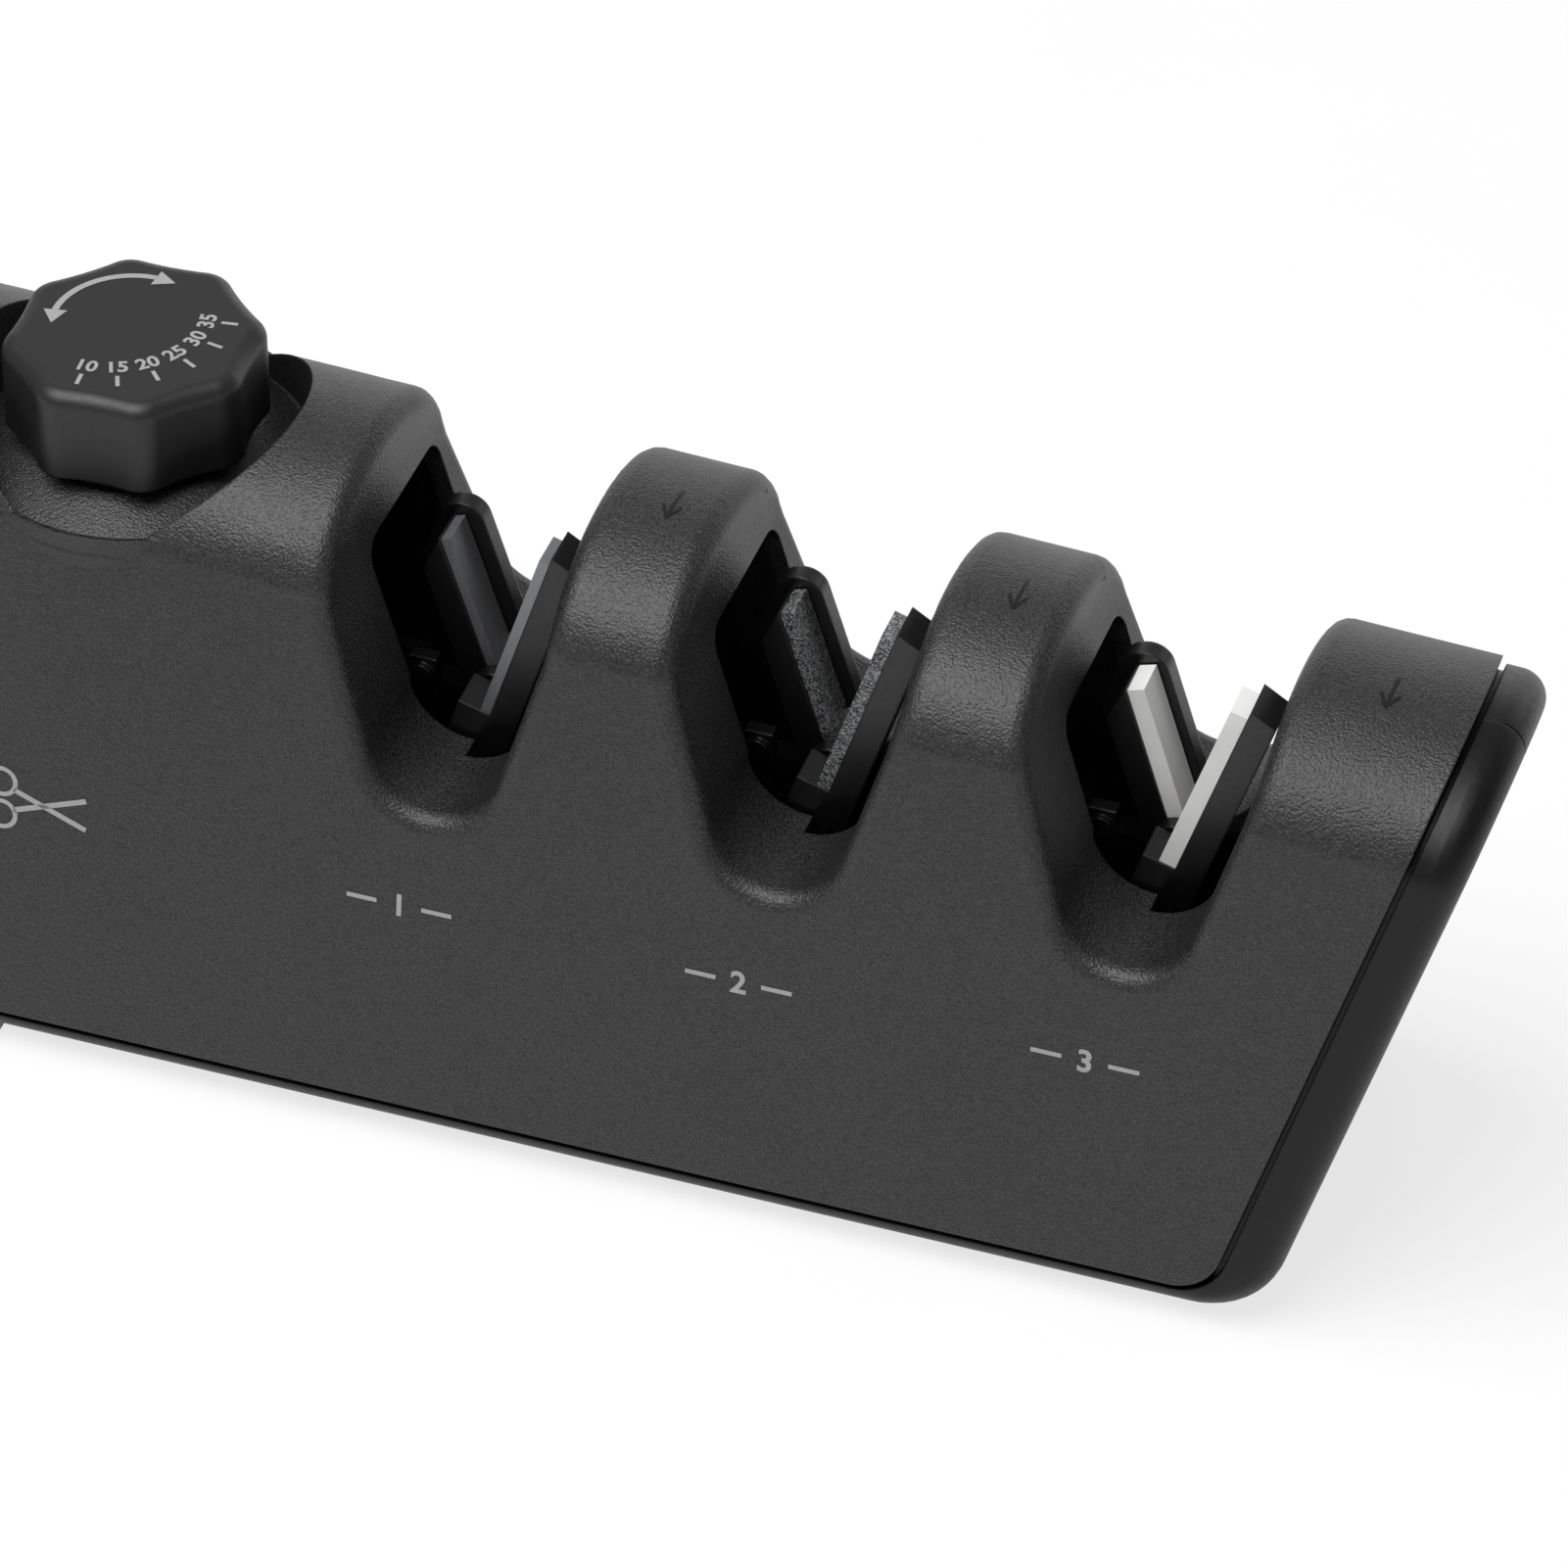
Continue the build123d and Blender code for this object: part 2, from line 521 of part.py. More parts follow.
# Upper casing
with BuildPart() as upper_casing:
    add(notched_form.part)
    with BuildSketch(Plane.XY.offset(FOOT_H + WELL_RING_Z)):
        with Locations((KNOB_X, 0)):
            Circle(WELL_R + WELL_RING_T)
    extrude(amount=-WELL_RING_H, taper=WELL_RING_TAPER)
    extrude(casing_area(SEAM), amount=SPAN, mode=Mode.INTERSECT)
    add(cavity.part, mode=Mode.SUBTRACT)
    for slot_x in slot_xs:
        for side in (-1, 1):
            extrude(window_section(slot_x, side), amount=side * WINDOW_REACH, mode=Mode.SUBTRACT)
        with BuildSketch(Plane.XY.offset(FOOT_H + SLOT_BOTTOM_Z - WALL)):
            with Locations((slot_x, 0)):
                Rectangle(2 * SLOT_R, 2 * (holder_far + FOOT_GAP))
        extrude(amount=SLOT_R + WALL, mode=Mode.SUBTRACT)
    with BuildSketch(Plane.XY.offset(well_floor)):
        with Locations((KNOB_X, 0)):
            Circle(WELL_R)
    extrude(amount=SPAN, mode=Mode.SUBTRACT)
    with BuildSketch(Plane.XY.offset(well_floor)):
        with Locations((KNOB_X, 0)):
            Circle(WELL_R)
            Circle(WELL_R - WELL_GROOVE, mode=Mode.SUBTRACT)
    extrude(amount=-WELL_GROOVE, mode=Mode.SUBTRACT)
    with Locations((KNOB_X, 0, well_floor)):
        Cone(
            bottom_radius=WELL_R - WELL_GROOVE, top_radius=COLLAR_R + DOME_GAP, height=WELL_DOME_H,
            align=(Align.CENTER, Align.CENTER, Align.MIN))
    with BuildSketch(Plane.XY.offset(well_floor)):
        with Locations((KNOB_X, 0)):
            Circle(COLLAR_R + DOME_GAP)
    extrude(amount=WELL_DOME_H, mode=Mode.SUBTRACT)
    with BuildSketch(Plane.XY.offset(body_floor)):
        with Locations(*post_places):
            Circle(POST_R)
    extrude(amount=SEAM + WALL)
    with BuildSketch(Plane.XY):
        with Locations((KNOB_X, 0)):
            Circle(SHAFT_D / 2 + RUN)
    extrude(amount=SPAN, mode=Mode.SUBTRACT)
    with BuildSketch(Plane.XZ.offset(-SPAN / 2)):
        with Locations((SCISSOR_X, scissor_floor + SPAN / 2)):
            Rectangle(SCISSOR_W, SPAN)
    extrude(amount=SPAN, mode=Mode.SUBTRACT)
    with BuildSketch(Plane.XY):
        with Locations(*post_places):
            Circle(SCREW_D / 2)
    extrude(amount=body_floor + SCREW_LENGTH, mode=Mode.SUBTRACT)
upper_casing.part.label = "upper_casing"
export_step(upper_casing.part, "parts/upper_casing.step")

# Base frame: the floor, the strip under the casing and the front part of the slot end's cover
with BuildPart() as end_hollow:
    add(inner_form.part)
    split(bisect_by=end_plane(TRIM_T + WALL), keep=Keep.TOP)
    split(bisect_by=end_plane(END_WALL), keep=Keep.BOTTOM)
    split(bisect_by=Plane.XY.offset(body_floor + WALL), keep=Keep.TOP)

with BuildPart() as seam_tongue:
    for inset, mode in ((TONGUE_IN, Mode.ADD), (TONGUE_IN + TONGUE_W, Mode.SUBTRACT)):
        extrude(
            body_section(BODY_LEFT_X, inset, -BELOW, TRIM_DROP, SOFT_KNEE_ROUND), amount=RUN_OUT,
            dir=(1, 0, -CREST_FALL), mode=mode)
    split(bisect_by=end_plane(TRIM_T + SEAM - TONGUE_GAP), keep=Keep.TOP)
    split(bisect_by=end_plane(TRIM_T - MERGE), keep=Keep.BOTTOM)
    split(bisect_by=Plane.XY.offset(body_floor), keep=Keep.TOP)

with BuildPart() as end_cover:
    add(trim_form.part)
    extrude(casing_area(0.0), amount=SPAN, mode=Mode.SUBTRACT)
    add(end_hollow.part, mode=Mode.SUBTRACT)
    add(seam_tongue.part)

with BuildPart() as cap_room:
    with BuildSketch(Plane.XZ.offset(-CAP_SEAM_Y)):
        with Locations((END_BASE_X, FOOT_H + CAP_LOW_Z + SPAN / 2)):
            Rectangle(SPAN, SPAN)
    extrude(amount=-SPAN)

with BuildPart() as base_frame:
    add(end_cover.part)
    add(cap_room.part, mode=Mode.SUBTRACT)
    with BuildSketch(Plane.XY):
        with Locations(*post_places, *chassis_screws):
            Circle(SCREW_D / 2)
    extrude(amount=SPAN, mode=Mode.SUBTRACT)
    with BuildSketch(Plane.XY):
        with Locations(*post_places, *chassis_screws):
            Circle(SCREW_HEAD_D / 2 + HEAD_ROOM)
    extrude(amount=FOOT_H + SEAT_DEEP, mode=Mode.SUBTRACT)
base_frame.part.label = "base_frame"
export_step(base_frame.part, "parts/base_frame.step")

# Cap on the slot end, behind the front part of its cover
with BuildPart() as end_cap:
    add(end_cover.part)
    split(bisect_by=Plane.XZ.offset(-CAP_SEAM_Y - FINE_SEAM), keep=Keep.BOTTOM)
    split(bisect_by=Plane.XY.offset(FOOT_H + CAP_LOW_Z + FINE_SEAM), keep=Keep.TOP)
end_cap.part.label = "end_cap"
export_step(end_cap.part, "parts/end_cap.step")

# Chassis: floor, bearing fins and slide guides
with BuildPart() as chassis:
    with BuildSketch(Plane.XY.offset(body_floor)):
        with Locations(((CHASSIS_LEFT + CHASSIS_RIGHT) / 2, 0)):
            Rectangle(CHASSIS_RIGHT - CHASSIS_LEFT, 2 * chassis_half)
    extrude(amount=CHASSIS_T)
    for slot_x in slot_xs:
        with BuildSketch(Plane.XZ.offset(-FIN_T / 2)):
            with BuildLine():
                Polyline(
                    (slot_x - KNUCKLE_R, pivot_level), (slot_x - FIN_FOOT, chassis_top - MERGE),
                    (slot_x + FIN_FOOT, chassis_top - MERGE), (slot_x + KNUCKLE_R, pivot_level))
                ThreePointArc(
                    (slot_x + KNUCKLE_R, pivot_level), (slot_x, pivot_level + KNUCKLE_R),
                    (slot_x - KNUCKLE_R, pivot_level))
            make_face()
            with Locations((slot_x, pivot_level)):
                Circle(PIVOT_D / 2, mode=Mode.SUBTRACT)
            with Locations((slot_x + STUD_X, (chassis_top - MERGE + FOOT_H + STUD_TOP_Z) / 2)):
                Rectangle(STUD_W, FOOT_H + STUD_TOP_Z - chassis_top + MERGE)
        extrude(amount=FIN_T)
        with BuildSketch(Plane.XZ.offset(FIN_T / 2)):
            with Locations((slot_x + STUD_X, FOOT_H + STUD_BOSS_Z)):
                Circle(STUD_BOSS_D / 2)
        extrude(amount=STUD_BOSS_T)
    for guide_x in guide_xs:
        with BuildSketch(Plane.YZ.offset(guide_x - GUIDE_L / 2)):
            with Locations((0, (chassis_top - MERGE + guide_top) / 2)):
                Rectangle(2 * chassis_half, guide_top - chassis_top + MERGE)
                Rectangle(2 * GUIDE_INNER, SPAN, mode=Mode.SUBTRACT)
            for side in (-1, 1):
                with Locations((side * (SLIDE_Y + SLIDE_T / 2), slide_low - SLIDE_GAP + SPAN / 2)):
                    Rectangle(SLIDE_T + 2 * SLIDE_GAP, SPAN, mode=Mode.SUBTRACT)
        extrude(amount=GUIDE_L)
    with BuildSketch(Plane.XY):
        with Locations(*chassis_screws):
            Circle(SCREW_D / 2)
    extrude(amount=SPAN, mode=Mode.SUBTRACT)
chassis.part.label = "chassis"
export_step(chassis.part, "parts/chassis.step")

# Slides: the front one drives the right holders, the back one the left holders
for name, side in (("front_slide", 1), ("back_slide", -1)):
    front = -side
    follower_x = KNOB_X + side * CAM_START
    pin_shift = side * TAIL_REACH * tan(radians(REST_ANGLE))
    left_x = min(follower_x - TAB_HALF, KNOB_X)
    with BuildPart() as slide:
        with BuildSketch(Plane.XZ.offset(-front * SLIDE_Y)):
            with Locations(((left_x + SLIDE_RIGHT) / 2, slide_low + SLIDE_H / 2)):
                Rectangle(SLIDE_RIGHT - left_x, SLIDE_H)
        extrude(amount=-front * SLIDE_T)
        with BuildSketch(Plane.XY.offset(slide_top)):
            with Locations((follower_x, front * (SLIDE_Y + SLIDE_T - TAB_Y / 2))):
                Rectangle(2 * TAB_HALF, TAB_Y)
        extrude(amount=-TAB_T)
        with BuildSketch(Plane.XY.offset(slide_top - TAB_T / 2)):
            with Locations((follower_x, 0)):
                Circle(PIN_D / 2)
        extrude(amount=cam_top - FOLLOWER_SHORT - slide_top + TAB_T / 2)
        with BuildSketch(Plane.XZ.offset(-front * (SLIDE_Y + SLIDE_T / 2))):
            with Locations(*[(slot_x - pin_shift, pin_level) for slot_x in slot_xs]):
                Circle(PIN_D / 2)
        extrude(amount=front * (SLIDE_Y + SLIDE_T / 2 - holder_near - DRIVE_SHORT))
    slide.part.label = name
    export_step(slide.part, f"parts/{name}.step")


# Cam disc with its two spiral slots and a rest notch for each setting
with BuildPart() as cam_disc:
    with BuildSketch(Plane.XY.offset(cam_low)):
        with Locations((KNOB_X, 0)):
            Circle(CAM_R)
            Rectangle(STEM_SQUARE, STEM_SQUARE, mode=Mode.SUBTRACT)
            with PolarLocations(CAM_R + NOTCH_OUT, DIAL_STEPS, -KNOB_TURN, KNOB_TURN, endpoint=True):
                Circle(NOTCH_R, mode=Mode.SUBTRACT)
    extrude(amount=CAM_T)
    for heading in (1, -1):
        with BuildSketch(Plane(origin=(KNOB_X, 0, cam_low), x_dir=(heading, 0, 0))):
            make_face(spiral_slot_outline())
        extrude(amount=CAM_T, mode=Mode.SUBTRACT)
cam_disc.part.label = "cam_disc"
export_step(cam_disc.part, "parts/cam_disc.step")

# Angle knob with its collar and stem
with BuildPart() as angle_knob:
    loft(
        sections=[
            grip_section(knob_skirt, KNOB_R, KNOB_WAIST),
            grip_section(knob_skirt + KNOB_H, KNOB_TOP_R, KNOB_TOP_WAIST)],
        ruled=True)
    fillet(angle_knob.faces().sort_by(Axis.Z)[-1].edges(), radius=KNOB_ROUND)
    with BuildSketch(Plane((KNOB_X, 0, knob_skirt))):
        Circle(COLLAR_R)
    extrude(amount=-(KNOB_STAND - KNOB_LIFT))
    with BuildSketch(Plane((KNOB_X, 0, knob_skirt))):
        Circle(SHAFT_D / 2)
    extrude(amount=-(knob_skirt - cam_top))
    with BuildSketch(Plane((KNOB_X, 0, cam_top))):
        Rectangle(STEM_SQUARE - STEM_FIT, STEM_SQUARE - STEM_FIT)
    extrude(amount=-CAM_T + STEM_SHORT)
    with BuildSketch(Plane((KNOB_X, 0, cam_low))):
        Circle(SCREW_D / 2)
    extrude(amount=SCREW_LENGTH, mode=Mode.SUBTRACT)
angle_knob.part.label = "angle_knob"
export_step(angle_knob.part, "parts/angle_knob.step")

# Spring leaf that drops into the cam's rest notches
with BuildPart() as detent_leaf:
    with BuildSketch(Plane.XZ.offset(-LEAF_W / 2)):
        with BuildLine():
            Polyline(
                (leaf_x, chassis_top), (leaf_x + LEAF_T, chassis_top),
                (leaf_x + LEAF_T, cam_top), (leaf_x, cam_top), close=True)
        make_face()
    extrude(amount=LEAF_W)
    with BuildSketch(Plane.XY.offset(cam_low + NIB_INSET)):
        with Locations((leaf_x, 0)):
            Circle(NIB_R)
    extrude(amount=CAM_T - 2 * NIB_INSET)
detent_leaf.part.label = "detent_leaf"
export_step(detent_leaf.part, "parts/detent_leaf.step")

# Abrasive holders, plates and pivot pins of the three knife slots
for number, slot_x in enumerate(slot_xs, start=1):
    plate_t = PLATE_TS[number - 1]
    for name, side, arm_top, arm_drop, plate_top in (
            ("right", 1, RIGHT_ARM_TOP, RIGHT_ARM_DROP, RIGHT_PLATE_TOP),
            ("left", -1, LEFT_ARM_TOP, LEFT_ARM_DROP, LEFT_PLATE_TOP)):
        start_y = -holder_near if side == 1 else holder_far
        bore_y = -holder_near if side == 1 else holder_far - PIN_CAP
        face = tilted(slot_x, start_y, side * REST_ANGLE)
        arm_in = side * PLATE_BACK
        arm_out = side * (PLATE_BACK + ARM_T)
        with BuildPart() as holder:
            with BuildSketch(face):
                with BuildLine():
                    Polyline(
                        (-side * KNUCKLE_R, -KNUCKLE_R), (-side * KNUCKLE_R, PLATE_FOOT),
                        (arm_in, PLATE_FOOT), (arm_in, arm_top), (arm_out, arm_top - arm_drop),
                        (arm_out, -KNUCKLE_R), close=True)
                make_face()
                with Locations((0, -(KNUCKLE_R + TAIL_END) / 2)):
                    Rectangle(TAIL_W, TAIL_END - KNUCKLE_R + MERGE)
                with Locations((0, -drive_slot_mid)):
                    SlotCenterToCenter(drive_slot_run, PIN_D + 2 * RUN, rotation=90, mode=Mode.SUBTRACT)
            extrude(amount=HOLDER_W)
            if side == -1:
                with BuildSketch(tilted(slot_x, holder_far + RIM_T, side * REST_ANGLE)) as rim:
                    with BuildLine():
                        Polyline(
                            (RIM_IN, RIM_FOOT), (RIM_IN, RIM_TOP), (-RIM_PEAK, RIM_TOP),
                            (-RIM_OUT, RIM_SHOULDER), (-RIM_OUT, RIM_FOOT), close=True)
                    make_face()
                    fillet(rim.vertices().group_by(Axis.Y)[-1], radius=RIM_ROUND)
                extrude(amount=RIM_T)
            with BuildSketch(tilted(slot_x, bore_y, side * REST_ANGLE)):
                Circle(PIVOT_D / 2 + RUN)
            extrude(amount=HOLDER_W - PIN_CAP, mode=Mode.SUBTRACT)
        holder.part.label = f"{name}_holder_{number}"
        export_step(holder.part, f"parts/{name}_holder_{number}.step")
        plate_y = -holder_near - PLATE_GAP if side == 1 else holder_near + PLATE_GAP + PLATE_W
        with BuildPart() as plate:
            with BuildSketch(tilted(slot_x, plate_y, side * REST_ANGLE)):
                with Locations((side * (PLATE_BACK - plate_t / 2), (PLATE_FOOT + plate_top) / 2)):
                    Rectangle(plate_t, plate_top - PLATE_FOOT)
            extrude(amount=PLATE_W)
        plate.part.label = f"{name}_plate_{number}"
        export_step(plate.part, f"parts/{name}_plate_{number}.step")
    with BuildPart() as pivot_pin:
        with BuildSketch(Plane.XZ.offset(-pin_half)):
            with Locations((slot_x, pivot_level)):
                Circle(PIVOT_D / 2)
        extrude(amount=2 * pin_half)
    pivot_pin.part.label = f"pivot_pin_{number}"
    export_step(pivot_pin.part, f"parts/pivot_pin_{number}.step")

# Scissor insert with its two crossed rods
with BuildPart() as scissor_insert:
    with BuildSketch(Plane.XY.offset(body_floor)):
        with Locations((SCISSOR_X, 0)):
            Rectangle(INSERT_X, INSERT_STEM_W)
    extrude(amount=scissor_floor - body_floor - INSERT_DEEP)
    with BuildSketch(Plane.XY.offset(scissor_floor - INSERT_DEEP)):
        with Locations((SCISSOR_X, 0)):
            Rectangle(INSERT_X, INSERT_W)
    extrude(amount=INSERT_HEAD_H)
    with BuildSketch(Plane.XZ.offset(-SPAN / 2)):
        with Locations((SCISSOR_X, scissor_floor + SPAN / 2)):
            Rectangle(SCISSOR_W, SPAN)
    extrude(amount=SPAN, mode=Mode.SUBTRACT)
    for side in (-1, 1):
        with BuildSketch(rod_plane(side)):
            Circle(ROD_D / 2)
        extrude(amount=ROD_L / 2, both=True, mode=Mode.SUBTRACT)
scissor_insert.part.label = "scissor_insert"
export_step(scissor_insert.part, "parts/scissor_insert.step")

for side, name in ((-1, "front_rod"), (1, "back_rod")):
    with BuildPart() as rod:
        with BuildSketch(rod_plane(side)):
            Circle(ROD_D / 2)
        extrude(amount=ROD_L / 2, both=True)
    rod.part.label = name
    export_step(rod.part, f"parts/{name}.step")

# Handle: two hollow halves, joined on the middle plane, and a soft grip let into the underside
with BuildPart() as handle_form:
    with BuildSketch(Plane.XZ.offset(-HANDLE_HALF)):
        make_face(handle_outline(0.0))
    extrude(amount=2 * HANDLE_HALF)
    sides = handle_form.faces().filter_by(Axis.Y)
    fillet(sides.edges().filter_by(GeomType.LINE, reverse=True), radius=HANDLE_ROUND)

with BuildPart() as handle_room:
    with BuildSketch(Plane.XZ.offset(-HANDLE_HALF + WALL)):
        make_face(handle_outline(HANDLE_SKIN))
    extrude(amount=2 * (HANDLE_HALF - WALL))

with BuildPart() as grip_band:
    add(handle_form.part)
    with BuildSketch(Plane.XZ.offset(-HANDLE_HALF)):
        make_face(handle_outline(GRIP_T))
    extrude(amount=2 * HANDLE_HALF, mode=Mode.SUBTRACT)
    split(bisect_by=Plane.YZ.offset(GRIP_LEFT_X), keep=Keep.TOP)
    split(bisect_by=Plane.YZ.offset(GRIP_RIGHT_X), keep=Keep.BOTTOM)
    split(bisect_by=Plane.XY.offset(GRIP_SPLIT_Z), keep=Keep.BOTTOM)
grip_band.part.label = "soft_grip"
export_step(grip_band.part, "parts/soft_grip.step")

for name, side in (("handle_front", 1), ("handle_back", -1)):
    with BuildPart() as half:
        add(handle_form.part)
        add(handle_room.part, mode=Mode.SUBTRACT)
        for boss_x, boss_z in handle_bosses:
            with BuildSketch(Plane.XZ.offset(-HANDLE_HALF + BOSS_INSET)):
                with Locations((boss_x, boss_z)):
                    Circle(POST_R)
            extrude(amount=2 * (HANDLE_HALF - BOSS_INSET))
        with BuildSketch(Plane.XZ.offset(-HANDLE_HALF)):
            with Locations(*handle_bosses):
                Circle(SCREW_D / 2)
        extrude(amount=2 * HANDLE_HALF - BORE_END, mode=Mode.SUBTRACT)
        with BuildSketch(Plane.XZ.offset(-HANDLE_HALF)):
            with Locations(*handle_bosses):
                Circle(SCREW_HEAD_D / 2 + HEAD_ROOM)
        extrude(amount=HEAD_SINK, mode=Mode.SUBTRACT)
        add(grip_band.part, mode=Mode.SUBTRACT)
        split(bisect_by=Plane.XZ, keep=Keep.TOP if side == 1 else Keep.BOTTOM)
    half.part.label = name
    export_step(half.part, f"parts/{name}.step")

# Rubber strips under the body
for name, mid_x, length, strip_inset in (
        ("left_foot", LEFT_FOOT_X, LEFT_FOOT_L, LEFT_FOOT_INSET),
        ("right_foot", RIGHT_FOOT_X, RIGHT_FOOT_L, RIGHT_FOOT_INSET)):
    with BuildPart() as foot:
        with BuildSketch():
            with Locations((mid_x, 0)):
                RectangleRounded(length, 2 * (BASE_HALF - strip_inset), STRIP_CORNER)
        extrude(amount=FOOT_H)
    foot.part.label = name
    export_step(foot.part, f"parts/{name}.step")

# Screws
screw_seat = Plane.XY.offset(FOOT_H + SEAT_DEEP)
chassis_screw_l = chassis_top - FOOT_H - SEAT_DEEP - SCREW_SHORT
screw_group("casing_screws", screw_seat, post_places, SCREW_LENGTH)
screw_group("chassis_screws", screw_seat, chassis_screws, chassis_screw_l)
screw_group("cam_screw", Plane.XY.offset(cam_low), [(KNOB_X, 0)], SCREW_LENGTH - TIP_ROOM)
handle_seat = Plane(origin=(0, HANDLE_HALF - HEAD_SINK, 0), x_dir=(1, 0, 0), z_dir=(0, -1, 0))
screw_group("handle_screws", handle_seat, handle_bosses, 2 * HANDLE_HALF - BORE_END - HEAD_SINK)
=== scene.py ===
"""Looks of the manual knife sharpener: moulded black plastic, grit plates, ceramic, plain signs."""
from math import asin, atan, cos, radians, sin, sqrt

import bpy
from mathutils import Matrix, Vector


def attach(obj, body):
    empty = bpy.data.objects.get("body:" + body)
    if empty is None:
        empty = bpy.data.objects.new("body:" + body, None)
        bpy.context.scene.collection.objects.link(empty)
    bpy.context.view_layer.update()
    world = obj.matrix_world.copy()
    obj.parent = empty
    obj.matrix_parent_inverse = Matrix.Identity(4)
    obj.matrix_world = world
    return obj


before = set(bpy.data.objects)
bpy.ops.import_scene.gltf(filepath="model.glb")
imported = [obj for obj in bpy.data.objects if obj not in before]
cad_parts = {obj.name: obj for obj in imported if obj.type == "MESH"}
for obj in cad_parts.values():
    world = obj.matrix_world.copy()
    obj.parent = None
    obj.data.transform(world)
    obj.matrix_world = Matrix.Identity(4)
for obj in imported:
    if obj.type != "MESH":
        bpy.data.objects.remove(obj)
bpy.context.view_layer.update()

MM = 0.001
PLASTIC_IOR = 1.53

# Sizes of the body that the signs lie on, in millimetres, as in the frame
FOOT_H = 1.5                    # the rubber strips lift the body this much
SLOT_XS = (34.5, 70.5, 106.5)   # the knife slots
BASE_HALF = 25.3                # half the depth at the foot
FLANK_LEAN = 0.148              # the front face leans in by this per millimetre
KNEE_Z = 58.3                   # top of the flat faces
CREST_Z = 56.0                  # centre of the ellipse that the crest is part of
CREST_RZ = 11.0                 # its half height
CREST_FALL = 0.0383             # the crest falls by this towards the slot end
KNOB_X = -3.5                   # the knob's axis
KNOB_TOP = 76.3                 # its flat top
PRINT_LIFT = 0.03               # signs lie this far above the surface


# Materials

def linear(hex_code):
    """A colour written as sRGB hex, turned to linear RGBA."""
    parts = [int(hex_code[i:i + 2], 16) / 255 for i in (1, 3, 5)]
    return [c / 12.92 if c <= 0.04045 else ((c + 0.055) / 1.055) ** 2.4 for c in parts] + [1.0]


def add_node(tree, kind, links=None, **settings):
    """Adds a node; links sets its sockets to values or other nodes' outputs, settings its properties."""
    node = tree.nodes.new(kind)
    for name, value in settings.items():
        setattr(node, name, value)
    for name, value in (links or {}).items():
        if isinstance(value, bpy.types.NodeSocket):
            tree.links.new(value, node.inputs[name])
        else:
            node.inputs[name].default_value = value
    return node


def start_material(name):
    """An empty material, its node tree and its position texture coordinate in metres."""
    material = bpy.data.materials.new(name)
    material.use_nodes = True
    tree = material.node_tree
    tree.nodes.clear()
    place = add_node(tree, "ShaderNodeTexCoord").outputs["Object"]
    return material, tree, place


def finish_material(tree, shader):
    add_node(tree, "ShaderNodeOutputMaterial", {"Surface": shader})


def spark_eroded_abs():
    """Black ABS from a spark-eroded mould: a fine even grain that scatters light, with lighter specks."""
    material, tree, place = start_material("spark_eroded_abs")
    grain_mm = 0.26
    grain = add_node(tree, "ShaderNodeTexNoise", {
        "Vector": place, "Scale": 1000 / grain_mm, "Detail": 1.0, "Roughness": 0.5})
    specks = add_node(tree, "ShaderNodeTexVoronoi", {
        "Vector": place, "Scale": 1000 / (grain_mm * 1.5), "Randomness": 1.0})
    patches = add_node(tree, "ShaderNodeTexNoise", {"Vector": place, "Scale": 1000 / 14.0, "Detail": 3.0})
    contrast = add_node(tree, "ShaderNodeMapRange", {
        "Value": grain.outputs["Fac"], "From Min": 0.35, "From Max": 0.65})
    colour = add_node(tree, "ShaderNodeMix", {
        "Factor": contrast.outputs["Result"], "A": linear("#0d0d0e"), "B": linear("#2b2b2c")},
        data_type="RGBA")
    gloss = add_node(tree, "ShaderNodeMapRange", {
        "Value": patches.outputs["Fac"], "From Min": 0.3, "From Max": 0.7, "To Min": 0.4, "To Max": 0.46})
    coarse = add_node(tree, "ShaderNodeBump", {
        "Height": specks.outputs["Distance"], "Strength": 0.6, "Distance": 0.05 * MM})
    soft_edge = add_node(tree, "ShaderNodeBevel", {"Radius": 0.35 * MM}, samples=4)
    tree.links.new(soft_edge.outputs["Normal"], coarse.inputs["Normal"])
    fine = add_node(tree, "ShaderNodeBump", {
        "Height": grain.outputs["Fac"], "Strength": 1.0, "Distance": 0.1 * MM,
        "Normal": coarse.outputs["Normal"]})
    shader = add_node(tree, "ShaderNodeBsdfPrincipled", {
        "Base Color": colour.outputs["Result"], "Roughness": gloss.outputs["Result"],
        "IOR": PLASTIC_IOR, "Normal": fine.outputs["Normal"]})
    finish_material(tree, shader.outputs["BSDF"])
    return material


def satin_abs(name, dark, light, rough, grain_mm=0.6, sheen=0.5):
    """Black ABS from a lightly stoned mould: soft sheen, faintly uneven; a sheen under 0.5 dulls it."""
    material, tree, place = start_material(name)
    grain = add_node(tree, "ShaderNodeTexNoise", {"Vector": place, "Scale": 1000 / grain_mm, "Detail": 3.0})
    flow = add_node(tree, "ShaderNodeTexNoise", {"Vector": place, "Scale": 1000 / 18.0, "Detail": 2.0})
    colour = add_node(tree, "ShaderNodeMix", {
        "Factor": flow.outputs["Fac"], "A": linear(dark), "B": linear(light)}, data_type="RGBA")
    gloss = add_node(tree, "ShaderNodeMapRange", {
        "Value": grain.outputs["Fac"], "From Min": 0.3, "From Max": 0.7,
        "To Min": rough - 0.04, "To Max": rough + 0.05})
    soft_edge = add_node(tree, "ShaderNodeBevel", {"Radius": 0.3 * MM}, samples=4)
    bump = add_node(tree, "ShaderNodeBump", {
        "Height": grain.outputs["Fac"], "Strength": 0.2, "Distance": 0.03 * MM,
        "Normal": soft_edge.outputs["Normal"]})
    shader = add_node(tree, "ShaderNodeBsdfPrincipled", {
        "Base Color": colour.outputs["Result"], "Roughness": gloss.outputs["Result"],
        "IOR": PLASTIC_IOR, "Specular IOR Level": sheen, "Normal": bump.outputs["Normal"]})
    finish_material(tree, shader.outputs["BSDF"])
    return material


